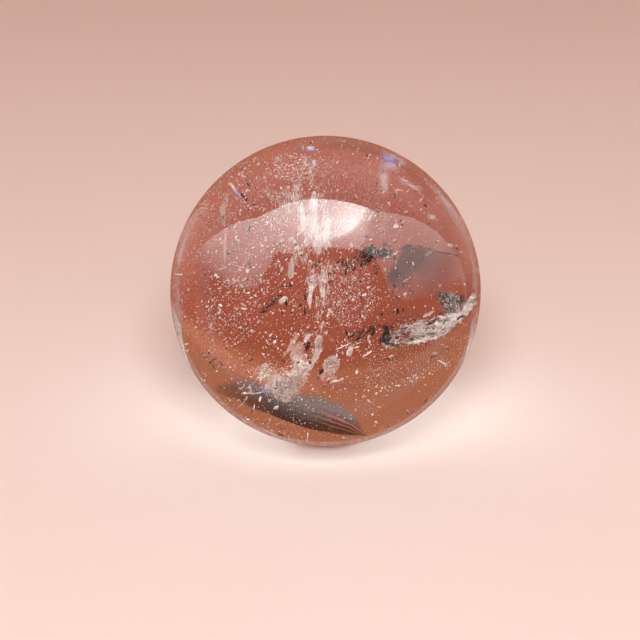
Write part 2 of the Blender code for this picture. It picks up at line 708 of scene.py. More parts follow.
CLOUD_LUMPS = (
    # x, y, depth, half width and half height in pixels, how many flakes
    (284, 387, 0.50, 20, 11, 960), (264, 374, 0.47, 9, 8, 200), (301, 364, 0.48, 10, 14, 230),
    (294, 377, 0.49, 16, 9, 220), (276, 381, 0.49, 12, 8, 120), (246, 390, 0.52, 10, 4, 40),
)
FLAKES_TO_A_LUMP = 60  # one soft lump for so many of those flakes
CLOUD_SOLID_SHARE = 0.2  # of the flakes in the middle; the rest are thin enough to see through


def make_cloud_body(cloudy):
    """Soft lumps, half see-through, that hold the cloud together."""
    rng = random.Random(24)
    rows = []
    for x, y, depth, half_width, half_height, count in CLOUD_LUMPS:
        for _ in range(count // FLAKES_TO_A_LUMP):
            aside, down = rng.uniform(-0.62, 0.62), rng.uniform(-0.62, 0.62)
            length = rng.uniform(0.45, 0.9) * half_height
            spot = (x + aside * half_width, y + down * half_height, depth + 0.015 - 0.05 * down)
            rows.append((*spot, length * 1.5, length, rng.uniform(0, 180)))
    single_flakes("cloud_body", rows, cloudy, tear=0.45)


def make_cloud(white, faint):
    rng = random.Random(14)
    solid = []
    thin = []
    for x, y, depth, half_width, half_height, count in CLOUD_LUMPS:
        for _ in range(count):
            turn = rng.uniform(0, 2 * math.pi)
            edge = 1.0 + 0.45 * noise.noise(Vector((math.cos(turn), math.sin(turn), x * 0.3)) * 1.7)
            out = math.sqrt(rng.random()) * edge
            aside, down = math.cos(turn) * out, math.sin(turn) * out
            place = seen_at(x + aside * half_width, y + down * half_height - aside * 2, depth - 0.05 * down)
            length = rng.uniform(0.08, 0.26)
            grain = tumbled(rng, place + wander(rng, 0.3 * MM), length, length * 0.8, length * 0.35)
            if rng.random() < CLOUD_SOLID_SHARE - 0.15 * out:
                solid.append(grain)
            else:
                thin.append(grain)
    flake_piece("low_cloud", solid, white, 0.7)
    flake_piece("cloud_haze", thin, faint, 0.7)


# Black flecks and silver glints in strips: the black is partly the grains' own and partly painted shade,
# and the silver is painted sheen

FLECK_STRIPS = (
    # line of points, half width in pixels, clumps, flecks in a clump, typical length in millimetres, lean
    (((330, 281, 0.44), (345, 266, 0.45), (358, 260, 0.46), (368, 256, 0.47)), 4.6, 26, 13, 0.26, 62),
    (((362, 257, 0.42), (374, 254, 0.42), (390, 250, 0.42)), 6.0, 64, 11, 0.42, 66),
    (((261, 312, 0.40), (268, 306, 0.41), (277, 297, 0.42)), 1.6, 9, 12, 0.30, 42),
    (((350, 337, 0.42), (362, 333, 0.43), (373, 328, 0.44)), 3.6, 10, 9, 0.30, 48),
    (((381, 345, 0.46), (386, 334, 0.47), (391, 326, 0.48)), 3.6, 12, 12, 0.34, 60),
    (((396, 319, 0.44), (408, 319, 0.45), (420, 317, 0.46)), 3.0, 9, 9, 0.26, 10),
    (((321, 370, 0.45), (319, 377, 0.45)), 1.8, 5, 9, 0.26, 70),
    (((229, 250, 0.42), (232, 254, 0.42)), 1.8, 4, 6, 0.18, 60),
    (((393, 226, 0.44), (400, 220, 0.45)), 1.2, 3, 6, 0.2, 55),
)
# Single black strokes: x, y, length and width in pixels, lean
STROKES = (
    (346.4, 332.7, 5, 1.5, 100), (349.3, 336, 6, 1.6, 60), (352.5, 336, 6, 1.8, 45),
    (357.4, 339.2, 7, 3, 25), (360, 334.9, 9, 2.2, 55), (363.4, 329.5, 6, 1.5, 75),
    (365.6, 333.8, 10, 2.5, 45), (369.3, 330, 8, 3, 45), (371, 326.8, 4, 2, 40),
    (373.9, 331.1, 6, 2.6, 80), (372, 333.8, 4, 1.5, 70), (379.4, 326, 3, 2.5, 30),
    (385, 326.8, 5, 3.5, 10), (386.2, 329.5, 5, 3, 60), (385, 333.8, 7, 3.5, 50),
    (388.3, 334.9, 5, 3, 90), (384, 340.3, 8, 3.5, 20), (389.4, 339.2, 6, 2.5, 30),
    (387.2, 343.6, 5, 2, 0), (361.7, 341.4, 5, 1.2, 20), (366.6, 339.2, 3, 1, 70),
    (397.5, 310.5, 5, 2, 100), (398, 312.6, 4, 2, 40), (403, 310, 3, 1.5, 70),
    (397.9, 298, 3, 2.2, 120), (392.7, 292, 4, 1.2, 120), (394.6, 286, 3.4, 2.2, 95),
    (412.7, 291.5, 3.5, 1.2, 110), (409.3, 290.4, 3, 1, 90), (381.8, 314.3, 2.4, 2, 60),
    (431.7, 323.5, 7, 1.8, 15), (428.5, 324.3, 5, 1.4, 20), (459.4, 317.5, 7, 3, 35),
    (463.2, 316, 4, 2.4, 30), (440.4, 313.7, 4, 2, 30), (444.7, 311, 4, 2, 60),
    (321, 372.3, 5, 3.5, 60), (305.1, 297, 5.5, 2.2, 92), (304.8, 312, 8, 1.8, 88),
    (275.5, 299, 8, 2.5, 50), (270.6, 305, 10, 2, 42), (264, 311.6, 7, 2.6, 15),
    (286.4, 303.4, 5, 2.6, 80), (280.4, 295.8, 4, 2.2, 10), (281.5, 285.5, 4, 2.5, 0),
    (290, 286, 4.5, 2, 20), (300, 305.6, 3.5, 1.6, 40), (282, 313.7, 3.5, 2, 10),
    (243, 330.5, 4, 1.6, 35), (214.2, 359.3, 6, 2, 25), (211, 361.5, 5, 2, 50),
    (213.7, 367.4, 7, 1.6, 95), (220.7, 363, 5, 1.4, 130), (245, 362.5, 3.5, 1.4, 0),
    (251, 359.8, 5, 1.4, 40), (251, 353.9, 6, 1.2, -20), (271.7, 347.7, 3, 1.4, 20),
    (310, 362.5, 3, 2, 90), (297.7, 362.5, 3.5, 2, 20), (283.6, 361, 4, 1.4, -30),
    (254, 204.7, 3, 2, -40), (249.5, 228.6, 5, 1.8, 80), (231.6, 226.4, 6, 1.6, 45),
    (228.9, 253.5, 3, 2, 20), (232.7, 251.7, 3.5, 1.4, 10), (249.5, 263.3, 3.4, 2, 60),
    (250, 267, 2.4, 1.6, 40), (256, 279.6, 3, 1.8, -30), (226, 280, 2.5, 1.6, 20),
    (205, 274.7, 2.4, 1.6, 40), (425.2, 205.5, 3, 2.2, -30), (412.7, 214.2, 2.4, 1.6, 30),
    (400.3, 221, 3.5, 1.6, 45), (429, 223.7, 2.5, 1.5, 30), (378, 211.8, 3, 2, -50),
    (366.6, 236.7, 3, 1.8, 30), (360.7, 235.6, 3, 1.6, 30), (394.8, 242, 4, 1.2, 40),
    (346, 272.5, 7, 2, 90), (349.3, 267, 6, 2.4, 30), (342.8, 261.7, 5, 1.6, 30),
    (346, 265, 5, 2.5, 100), (353.6, 269.2, 5, 2, 50), (330.3, 281.2, 5, 2, 40),
    (329.2, 273.6, 3, 2, 30), (334, 271, 3, 1.6, 30), (338, 262, 4, 1.6, 20), (377, 252, 4, 1.4, 60),
    (370, 250, 3, 1.2, 50),
)
STROKE_DEPTH = 0.42
FLECK_GLINT_SHARE = 0.2
CLUMP_SPREAD = 1.2  # pixels


def make_flecks(dark, silver):
    rng = random.Random(15)
    flecks = []
    glints = []
    for points, half_width, clumps, count, typical, angle in FLECK_STRIPS:
        line = places_at(points)
        for _ in range(clumps):
            clump = along(line, rng.random()) + wander(rng, half_width * PIXEL * 0.5)
            way = lean(angle + rng.gauss(0, 20), rng.uniform(-0.4, 0.4))
            for _ in range(count):
                length = typical * rng.uniform(0.2, 0.95)
                place = clump + wander(rng, CLUMP_SPREAD * PIXEL)
                place += way * (rng.gauss(0, 0.5) * length * MM)
                flecks.append(leaning(rng, place, way, 0.3, length, length * 0.42, length * 0.25))
                if rng.random() < FLECK_GLINT_SHARE:
                    beside = place + lean(rng.uniform(0, 360)) * (0.6 * length * MM)
                    glints.append(tumbled(rng, beside, length * 0.5, length * 0.3, length * 0.2))
    for x, y, length, width, angle in STROKES:
        sizes = (length * PIXEL / MM, width * PIXEL / MM, 0.5 * width * PIXEL / MM)
        flecks.append(flake(seen_at(x, y, STROKE_DEPTH), lean(angle), *sizes))
    flake_piece("black_flecks", flecks, dark, 0.7)
    flake_piece("fleck_glints", glints, silver, 0.5)


# The silver fracture low at the right, a crumpled sheet seen at a slant

FRACTURE_LOWER = (
    (381, 344, 0.40), (389, 349, 0.40), (407, 346, 0.41), (420, 344, 0.42), (436, 339, 0.43),
    (446, 335, 0.44),
    (452, 328, 0.45), (461, 320, 0.46), (469, 312, 0.48), (476, 304, 0.52),
)
FRACTURE_UPPER = (
    (383, 337, 0.55), (389, 333, 0.56), (396, 326, 0.57), (408, 321, 0.57), (420, 320, 0.58),
    (432, 320, 0.58),
    (443, 316, 0.59), (455, 311, 0.60), (465, 303, 0.60), (475, 293, 0.58),
)
CRUMPLE = 0.32  # millimetres
FRACTURE_THICKNESS = 0.04  # millimetres
FRACTURE_STEPS = (150, 34)
FRACTURE_CRUMBS = 300
FRACTURE_GAPS = 45


def make_fracture(foil, silver):
    """The crumpled sheet, torn along its upper edge and holed at its left."""
    lower = places_at(FRACTURE_LOWER)
    upper = places_at(FRACTURE_UPPER)
    work, shares = strip(lower, upper, FRACTURE_STEPS)
    torn = []
    for vert, (across, up) in shares.items():
        ragged = noise.noise(Vector((across * 26, up * 5, 2.0))) * 0.18
        holes = noise.noise(Vector((across * 13, up * 9, 6.0)))
        if 1 - up + ragged < 0.04 or up + 0.3 * ragged < 0.0 or holes > 0.22 + 0.6 * across:
            torn.append(vert)
        ripple = noise.noise_vector(Vector((across * 20, up * 13, 0.0)))
        fine = noise.noise_vector(Vector((across * 70, up * 30, 3.0)))
        vert.co = kept_inside(vert.co + (ripple + fine * 0.5) * (CRUMPLE * MM))
    bmesh.ops.delete(work, geom=torn, context="VERTS")
    thicken(work, VIEW_BACK * (-FRACTURE_THICKNESS * MM))
    place_piece("silver_fracture", work, foil)
    make_fracture_crumbs(silver, lower, upper)


def make_fracture_crumbs(silver, lower, upper):
    """Crumbs and slivers that fray out of the fracture's edges."""
    rng = random.Random(16)
    crumbs = []
    for _ in range(FRACTURE_CRUMBS):
        across = rng.random()
        edge = lower if rng.random() < 0.5 else upper
        place = along(lower, across).lerp(along(upper, across), rng.random())
        place = place.lerp(along(edge, across), rng.uniform(0.5, 1.06))
        length = rng.uniform(0.08, 0.36)
        way = lean(20 + 25 * across + rng.gauss(0, 15), rng.uniform(-0.3, 0.3))
        place += wander(rng, 0.2 * MM)
        crumbs.append(leaning(rng, place, way, 0.2, length, length * 0.4, length * 0.15))
    flake_piece("fracture_crumbs", crumbs, silver, 0.6)


def make_fracture_gaps(dark):
    """Dark dashes of painted shade that run the fracture's way, where it gapes."""
    rng = random.Random(17)
    lower = places_at(FRACTURE_LOWER)
    upper = places_at(FRACTURE_UPPER)
    gaps = []
    for _ in range(FRACTURE_GAPS):
        across = 0.75 * rng.random() ** 1.5
        up = rng.uniform(0.1, 0.95)
        place = along(lower, across).lerp(along(upper, across), up)
        way = (along(lower, across + 0.1) - along(lower, across - 0.1)).normalized()
        toward = VIEW_BACK * (0.35 * MM)
        length = rng.uniform(0.3, 1.1)
        gaps.append(leaning(rng, place + toward, way, 0.2, length, length * 0.16, length * 0.08))
    flake_piece("fracture_gaps", gaps, dark, 0.6)


# The streaked dark disc above the fracture's right end

DISC_CORNERS = ((432, 290, 0.42), (464, 295, 0.42), (462, 312, 0.41), (444, 314, 0.41))
DISC_BACK = 0.5  # millimetres from the blades to the film behind them
DISC_BLADES = 760
DISC_LIGHT_SHARE = 0.38


def make_disc(film, dark, silver):
    """A soft dark crescent with fine blades, which tapers to a tip at the upper left."""
    shadow = picture_sheet(DISC_CORNERS, (16, 16))
    bmesh.ops.translate(shadow, verts=shadow.verts, vec=VIEW_BACK * (-DISC_BACK * MM))
    place_piece("disc_shadow", shadow, film)
    rng = random.Random(18)
    corners = places_at(DISC_CORNERS)
    blades = []
    lights = []
    while len(blades) + len(lights) < DISC_BLADES:
        across, down = rng.random(), rng.random()
        corner_cut = abs(2 * across - 1) ** 3 + abs(2 * down - 1) ** 3
        if rng.random() > 0.45 + 0.55 * across or corner_cut > 1:
            continue
        place = on_sheet(corners, across, down)
        way = lean(150 - 60 * across + rng.gauss(0, 7))
        length = rng.uniform(0.12, 0.6)
        if rng.random() < DISC_LIGHT_SHARE:
            lights.append(flake(place + VIEW_BACK * (0.1 * MM), way, length, 0.04, 0.03))
        else:
            blades.append(flake(place, way, length, rng.uniform(0.04, 0.09), 0.04))
    flake_piece("streaked_disc", blades, dark, 0.6)
    flake_piece("disc_lights", lights, silver, 0.6)


# The smooth crack at the right, its mirroring of the dark painted in as dark sheets

DARK_CRACK_CORNERS = ((404, 243.5, 0.40), (465, 257, 0.42), (452, 300, 0.52), (383, 287, 0.50))
DARKEST_CRACK_PATCH = ((386, 258, 0.36), (416, 258, 0.36), (414, 294, 0.36), (380, 290, 0.36))
DARK_CRACK_EDGE = ((399, 250, 0.40), (411, 244.5, 0.40), (439, 251.5, 0.41), (459, 256, 0.42))
DARK_CRACK_EDGE_GRAINS = 170
# Darkest and lightest tone of the painted dark, then the shares of the width and of the height over which
# each end fades out
PAINTED_DARK_LOOK = ((0.055, 0.009, 0.005), (0.14, 0.026, 0.017), (0.05, 0.75), (0.60, 0.04))
PAINTED_DARK_CORNER_LOOK = ((0.02, 0.003, 0.001), (0.05, 0.009, 0.005), (0.30, 0.55), (0.45, 0.45))


def make_dark_crack(dark):
    """Two soft sheets of painted dark, and a line of grains along the crack's upper edge."""
    plane = painted_dark_film("painted_dark_film", *PAINTED_DARK_LOOK)
    corner = painted_dark_film("painted_dark_corner_film", *PAINTED_DARK_CORNER_LOOK)
    place_piece("crack_painted_dark", picture_sheet(DARK_CRACK_CORNERS, (40, 24)), plane)
    place_piece("crack_corner_painted_dark", picture_sheet(DARKEST_CRACK_PATCH, (16, 16)), corner)
    rng = random.Random(19)
    rim = places_at(DARK_CRACK_EDGE)
    grains = []
    for _ in range(DARK_CRACK_EDGE_GRAINS):
        share = rng.random()
        way = (along(rim, share + 0.05) - along(rim, share - 0.05)).normalized()
        length = rng.uniform(0.1, 0.45)
        place = along(rim, share) + wander(rng, 0.05 * MM)
        grains.append(leaning(rng, place, way, 0.12, length, 0.06, 0.05))
    flake_piece("dark_crack_edge", grains, dark, 0.5)


# Painted streaks of split light over the dark lens

PRISM_DEPTH = 0.12
PRISM_UPPER = ((298, 403), (320, 405), (338, 411), (352, 420), (361, 429), (367, 434.5))
PRISM_LOWER = ((298, 418), (318, 425), (336, 431), (350, 434), (360, 435.5), (367, 436))
PRISM_COLOURS = (
    # share of the way up, and colour
    (0.0, (0.02, 0.012, 0.012)), (0.12, (0.03, 0.015, 0.012)), (0.19, (0.40, 0.14, 0.06)),
    (0.26, (0.03, 0.02, 0.025)), (0.34, (0.04, 0.02, 0.03)), (0.42, (0.52, 0.20, 0.09)),
    (0.50, (0.03, 0.03, 0.08)), (0.57, (0.04, 0.03, 0.06)), (0.65, (0.60, 0.22, 0.10)),
    (0.74, (0.40, 0.16, 0.12)), (0.82, (0.04, 0.05, 0.16)), (1.0, (0.26, 0.22, 0.26)),
)


def make_prism_streaks(film):
    """A sheet close under the skin, which narrows to a point at the right."""
    lower = [seen_at(*point, PRISM_DEPTH) for point in PRISM_LOWER]
    upper = [seen_at(*point, PRISM_DEPTH) for point in PRISM_UPPER]
    place_piece("prism_streaks", strip(lower, upper, (40, 30))[0], film)


# Rows of dots that fan out below the fracture

FAN_CORNERS = ((372, 352, 0.46), (470, 334, 0.48), (458, 362, 0.40), (356, 397, 0.38))
FAN_ROWS = 36
FAN_DOTS_IN_ROW = 16
FAN_EDGE_DOTS = 40
FAN_LEAN = -58


def make_fan(white):
    """Rows of tiny dots, which lean the other way from the specks, and larger ones along the foot."""
    rng = random.Random(20)
    corners = places_at(FAN_CORNERS)
    dots = []
    for row in range(FAN_ROWS):
        for step in range(FAN_DOTS_IN_ROW):
            down = (step + rng.uniform(-0.2, 0.2)) / FAN_DOTS_IN_ROW
            across = (row + rng.gauss(0, 0.1)) / FAN_ROWS + 0.07 * down
            if rng.random() > 0.85 - 0.30 * down or across > 1.02:
                continue
            size = rng.uniform(0.07, 0.11) + 0.06 * down * rng.random()
            place = on_sheet(corners, across, max(down, 0.0)) + wander(rng, 0.03 * MM)
            dots.append(leaning(rng, place, lean(FAN_LEAN), 0.3, size * 1.4, size, size * 0.7))
    for _ in range(FAN_EDGE_DOTS):
        size = rng.uniform(0.15, 0.28)
        place = on_sheet(corners, rng.random(), 1.0) + wander(rng, 0.22 * MM)
        dots.append(leaning(rng, place, lean(FAN_LEAN), 0.4, size * 1.3, size, size * 0.6))
    flake_piece("dotted_fan", dots, white, 0.4)


# Single flakes with a place of their own

CREAM_FLAKES = (
    # x, y, depth, length and width in pixels, lean
    (291, 271.5, 0.45, 11, 4.6, 84), (292, 265, 0.45, 13, 2.4, 86), (318.4, 341, 0.50, 9, 5.6, 75),
    (318.5, 347, 0.50, 13, 4.6, 88), (316.6, 354, 0.50, 13, 4.2, 78), (313.5, 361, 0.50, 12, 4.4, 66),
    (310, 367, 0.50, 8, 4.2, 56), (356, 347, 0.42, 6, 3.6, 10), (429, 314, 0.42, 11, 4.6, 30),
)
WHITE_FLAKES = (
    (367, 354, 0.42, 9, 3, 35), (388, 255, 0.46, 5, 3, 70), (385, 259.5, 0.46, 4, 2, 60),
    (344, 346, 0.42, 12, 1.6, 24), (361, 342, 0.42, 8, 1.6, 20),
)
GHOST_FLAKES = (
    (224, 206, 0.30, 18, 6, 80), (223, 217, 0.30, 16, 5.5, 96), (225, 246, 0.30, 30, 2.5, 90),
    (293, 342, 0.42, 17, 4.5, 60), (287, 352, 0.42, 10, 3, 50), (297, 352, 0.42, 16, 9, 70),
    (331.5, 365, 0.47, 14, 12, 80), (331, 378, 0.47, 6, 9, 80), (322, 376, 0.47, 7, 6, 60),
)
THIN_FLAKES = (
    (283, 300, 0.42, 8, 5, 40), (313, 214, 0.44, 34, 6, 88), (327, 232, 0.44, 26, 5, 88),
    (303, 218, 0.44, 24, 4, 94), (318, 240, 0.44, 22, 7, 88), (311, 290, 0.46, 26, 3, 84),
    (323, 285, 0.46, 20, 4, 84), (350, 350, 0.44, 9, 4, 80), (370, 401, 0.5, 6, 3, -20),
    (337, 381, 0.46, 9, 6, 20), (396, 226, 0.44, 4, 4, 0), (252, 393, 0.45, 14, 6, 10),
)
SPECKLED_PATCH = (332, 364, 0.46)
SPECKLED_PATCH_PIXELS = 7.6
SPECKLED_PATCH_FLAKES = 420


def single_flakes(name, rows, finish, tear=0.09):
    """Flakes with a place of their own, torn at the edges by noise."""
    work = bmesh.new()
    for x, y, depth, length, width, angle in rows:
        sizes = Vector((width, 0.4, length)) * (PIXEL / 2)
        turn = lean(angle, 0.15).to_track_quat("Z", "X") @ Quaternion((0.0, 0.0, 1.0), math.pi / 2)
        matrix = Matrix.LocRotScale(seen_at(x, y, depth), turn, sizes)
        grown = bmesh.ops.create_icosphere(work, subdivisions=3, radius=1.0, matrix=matrix)
        for vert in grown["verts"]:
            vert.co = kept_inside(vert.co + noise.noise_vector(vert.co / TORN_GRAIN) * (tear * MM))
    place_piece(name, work, finish)


def make_speckled_patch(faint):
    """A round patch of fine frosty flakes."""
    rng = random.Random(21)
    x, y, depth = SPECKLED_PATCH
    patch = []
    for _ in range(SPECKLED_PATCH_FLAKES):
        turn = rng.uniform(0, 2 * math.pi)
        out = math.sqrt(rng.random()) * SPECKLED_PATCH_PIXELS
        aside = math.cos(turn) * out
        down = math.sin(turn) * out
        place = seen_at(x + aside, y + down, depth + 0.004 * down)
        patch.append(tumbled(rng, place, rng.uniform(0.1, 0.26), 0.14, 0.06))
    flake_piece("speckled_patch", patch, faint, 0.6)


# Painted soft glints of split light near the skin

PASTEL_PATCHES = (
    # corners clockwise from the top left: x, y, depth
    ((226.5, 181, 0.12), (230.5, 179, 0.12), (242, 197, 0.12), (238, 199, 0.12)),
    ((305, 144.5, 0.10), (317, 145, 0.10), (317, 153, 0.10), (305, 151, 0.10)),
    ((311, 158, 0.12), (317, 158, 0.12), (316, 168, 0.12), (312, 168, 0.12)),
    ((239, 174, 0.10), (244, 169, 0.10), (246, 172, 0.10), (240, 177, 0.10)),
    ((446, 207, 0.08), (454, 211, 0.08), (457, 218, 0.08), (448, 214, 0.08)),
    ((444, 197, 0.08), (449, 202, 0.08), (447, 204, 0.08), (441, 199, 0.08)),
)
PASTEL_STOPS = (
    (0.05, (0.35, 0.65, 0.80)), (0.3, (0.45, 0.45, 0.95)), (0.55, (0.75, 0.62, 0.85)),
    (0.75, (0.95, 0.85, 0.45)), (1.0, (0.95, 0.62, 0.35)),
)
VIOLET_PATCHES = (
    ((377, 149, 0.10), (397, 155, 0.07), (405, 172, 0.10), (378, 170, 0.14)),
    ((383, 154, 0.10), (398, 158, 0.08), (400, 167, 0.10), (382, 166, 0.12)),
)
VIOLET_STOPS = (
    (0.0, (0.78, 0.60, 0.66)), (0.3, (0.66, 0.58, 0.80)), (0.5, (0.30, 0.16, 0.42)),
    (0.7, (0.50, 0.50, 0.92)), (1.0, (0.88, 0.90, 1.0)),
)
RIM_GLOWS = (
    ((383, 147.5, 0.05), (413, 165, 0.05), (411, 169, 0.06), (381, 151.5, 0.06)),
    ((396, 176, 0.20), (412, 181, 0.20), (412, 184, 0.20), (396, 179, 0.20)),
    ((401, 180, 0.20), (425, 188, 0.20), (424, 192, 0.20), (400, 184, 0.20)),
    ((392, 187, 0.20), (406, 190, 0.20), (406, 193, 0.20), (392, 190, 0.20)),
    ((374, 164, 0.30), (392, 167, 0.30), (389, 197, 0.30), (380, 195, 0.30)),
    ((428, 212, 0.25), (437, 215, 0.25), (436, 222, 0.25), (427, 219, 0.25)),
)
# Painted highlights, as pale bands along the ball's edge: two angles above the picture's right, then the
# outer and the inner distance from the ball's middle in pixels
RIM_BANDS = (
    (50, 16, 153.0, 145.5), (22, -12, 153.0, 146.5),
    (150, 176, 153.0, 145.0), (170, 200, 153.0, 142.0),
)
RIM_BAND_DEPTH = 0.03
RIM_BAND_STEPS = (60, 6)
RIM_GLOW_STOPS = ((0.0, (0.85, 0.68, 0.62)), (0.5, (0.92, 0.85, 0.90)), (1.0, (0.75, 0.82, 1.0)))


def make_soft_glints():
    """Painted patches of split light, and pale bands of painted highlight along the ball's edge."""
    pastel = pastel_film("pastel_glint", 1.0, *PASTEL_STOPS)
    violet = pastel_film("violet_glint", 0.8, *VIOLET_STOPS)
    pale = pastel_film("pale_glint", 0.5, *RIM_GLOW_STOPS)
    for name, patches, finish in (
        ("pastel_glint", PASTEL_PATCHES, pastel),
        ("violet_glint", VIOLET_PATCHES, violet),
        ("pale_glint", RIM_GLOWS, pale),
    ):
        for number, corners in enumerate(patches, 1):
            place_piece(f"{name}_{number}", picture_sheet(corners, (10, 10)), finish)
    for number, (start, end, outer, inner) in enumerate(RIM_BANDS, 1):
        band = strip(edge_line(start, end, inner), edge_line(start, end, outer), RIM_BAND_STEPS)[0]
        place_piece(f"painted_rim_highlight_{number}", band, pale)


def edge_line(start, end, out):
    """Places beneath the skin along the ball's edge, so many pixels out from its middle."""
    line = []
    for step in range(RIM_BAND_STEPS[0] + 1):
        angle = math.radians(start + (end - start) * step / RIM_BAND_STEPS[0])
        x = BALL_MIDDLE[0] + out * math.cos(angle)
        y = BALL_MIDDLE[1] - out * math.sin(angle)
        line.append(seen_at(x, y, RIM_BAND_DEPTH))
    return line


# Rainbow glints near the skin, their split light painted as bands of colour

RAINBOW_GLINTS = (
    # x, y, depth, length and width in pixels, lean
    (255, 160, 0.12, 6, 2, 30), (392, 157, 0.08, 14, 2, -22), (396, 163, 0.08, 8, 2, -60),
    (452.5, 213, 0.06, 5, 3, 30), (426, 180, 0.10, 6, 2, -40), (448, 200, 0.10, 6, 2, -35),
    (267, 386, 0.42, 13, 4, 55), (248, 271, 0.40, 4, 3, 60),
)


def make_rainbow_glints(film):
    """Small smooth lenses with bands of colour, painted in for split light."""
    work = bmesh.new()
    for x, y, depth, length, width, angle in RAINBOW_GLINTS:
        sizes = Vector((width, 0.3, length)) * (PIXEL / 2)
        turn = lean(angle).to_track_quat("Z", "X") @ Quaternion((0.0, 0.0, 1.0), math.pi / 2)
        matrix = Matrix.LocRotScale(kept_inside(seen_at(x, y, depth)), turn, sizes)
        bmesh.ops.create_icosphere(work, subdivisions=3, radius=1.0, matrix=matrix)
    for face in work.faces:
        face.smooth = True
    place_piece("rainbow_glints", work, film)


# The studio


def hide_from(piece, *rays):
    """Keeps an object or a light out of the sight of these kinds of ray."""
    for ray in rays:
        setattr(piece, f"visible_{ray}", False)


def stage_object(name, work, finish, *hidden_from):
    """A part of the studio, which isn't part of the object."""
    piece = finished_object(name, work, finish)
    hide_from(piece, *hidden_from)


def plain_light(name):
    """A finish that is only light, with its tree and its lamp."""
    material = bpy.data.materials.new(name)
    material.use_nodes = True
    tree = material.node_tree
    tree.nodes.clear()
    lamp = tree.nodes.new("ShaderNodeEmission")
    output = tree.nodes.new("ShaderNodeOutputMaterial")
    tree.links.new(lamp.outputs["Emission"], output.inputs["Surface"])
    return material, tree, lamp

FLOOR_HALF_WIDTH = 1.5
FLOOR_DROP = 0.00002  # the ball's flat is held this far above the floor, so that they don't flicker
TENT_RADIUS = 0.46
TENT_SPAN = (-98, 114)  # degrees from straight up, to the left and to the right
TENT_STEPS = (106, 6)
# The arch that the ball shows, in pixels from left to right. The tent is cut to be mirrored so.
ARCH_TOP = (
    (196, 253), (205, 243.5), (221, 231), (236, 222.6), (257.6, 217.7), (277, 208.5), (290, 202.5),
    (312, 199.3), (371, 209.6), (389, 213), (412, 218), (428.5, 226), (444.7, 240), (457.7, 256),
    (465, 277),
)
ARCH_FOOT = (
    (240, 290), (257.6, 288), (262, 279), (270, 264), (278, 249), (282.6, 254.6), (293, 253), (301, 247.6),
    (326, 247.6), (345, 248.6), (361, 249.7), (375, 258), (383, 275), (388, 292),
)
# Past both ends of the arch the tent narrows to a strip: degrees from straight up, and radii to the back
BACK_ENDS = (((-98, 0.54),), ((114, 0.52),))
FRONT_ENDS = (
    ((-98, 0.47), (-90, 0.45), (-83, 0.20)),
    ((80, -0.60), (90, -0.05), (97, 0.42), (104, 0.48), (114, 0.47)),
)


def mirrored_at(pixel):
    """Where the ball mirrors the tent at a pixel, in degrees from straight up and in radii to the back."""
    entry, _ = sight_line(pixel)
    start = entry - CENTRE
    way = (entry - CAMERA_PLACE).normalized().reflect(start)
    level = way.x**2 + way.z**2
    half = start.x * way.x + start.z * way.z
    short = start.x**2 + start.z**2 - TENT_RADIUS**2
    spot = start + way * ((math.sqrt(half**2 - level * short) - half) / level)
    return math.degrees(math.atan2(spot.x, spot.z)), spot.y / TENT_RADIUS


def tent_edge(outline, ends):
    """One edge of the tent, from its left end to its right."""
    return [*ends[0], *(mirrored_at(pixel) for pixel in outline), *ends[1]]


def read_off(points, value):
    """The height of a line of points at a value."""
    for (x0, y0), (x1, y1) in zip(points, points[1:]):
        if value <= x1:
            return y0 + (y1 - y0) * (value - x0) / (x1 - x0)
    return points[-1][1]


def make_tent():
    """A curved cloth of light over the ball, which it mirrors as a bright arch."""
    work = bmesh.new()
    bmesh.ops.create_grid(work, x_segments=TENT_STEPS[0], y_segments=TENT_STEPS[1], size=0.5)
    uv = work.loops.layers.uv.new("sheet")
    shares = {}
    front_line = tent_edge(ARCH_FOOT, FRONT_ENDS)
    back_line = tent_edge(ARCH_TOP, BACK_ENDS)
    for vert in work.verts:
        across = vert.co.x + 0.5
        back = vert.co.y + 0.5
        degrees = TENT_SPAN[0] + (TENT_SPAN[1] - TENT_SPAN[0]) * across
        angle = math.radians(degrees)
        front_edge = read_off(front_line, degrees)
        depth = front_edge + (read_off(back_line, degrees) - front_edge) * back
        shares[vert] = (across, back)
        vert.co = CENTRE + Vector((math.sin(angle), depth, math.cos(angle))) * TENT_RADIUS
    for face in work.faces:
        for loop in face.loops:
            loop[uv].uv = shares[loop.vert]
    stage_object("light_tent", work, tent_light(), "camera", "diffuse", "shadow")


TENT_STRENGTH = 15.0
# Degrees from straight up, and brightness
TENT_GLOW = (
    (-98, 0.02), (-84, 0.04), (-72, 0.15), (-53, 0.26), (-30, 0.36), (-12, 0.42), (25, 0.42), (30, 0.19),
    (74, 0.12), (84, 0.05), (100, 0.04), (114, 0.03),
)
FRONT_DIMMING = 0.55  # of the cloth, at its front edge
FRONT_SHARE = 0.4  # of the depth, over which the cloth comes to its full light
# The window is an ellipse on the tent, in shares of its width and depth
WINDOW_MIDDLE = (0.455, 1.0, 0.0)
WINDOW_HALF_SIZES = (0.132, 0.88, 1.0)
WINDOW_STRENGTH = 11.0
WINDOW_PROFILE = ((0.0, 0.0), (0.015, 0.28), (0.055, 0.28), (0.10, 1.0))  # inwards from its edge
WINDOW_LEFT_DIMMING = 0.15
WINDOW_RISE = (0.45, 0.54)  # it grows from that to its full light between these shares of the width
WINDOW_BACK_DIMMING = 0.4
WINDOW_TOP = (0.60, 1.0)  # and it dims to that between these shares of the depth


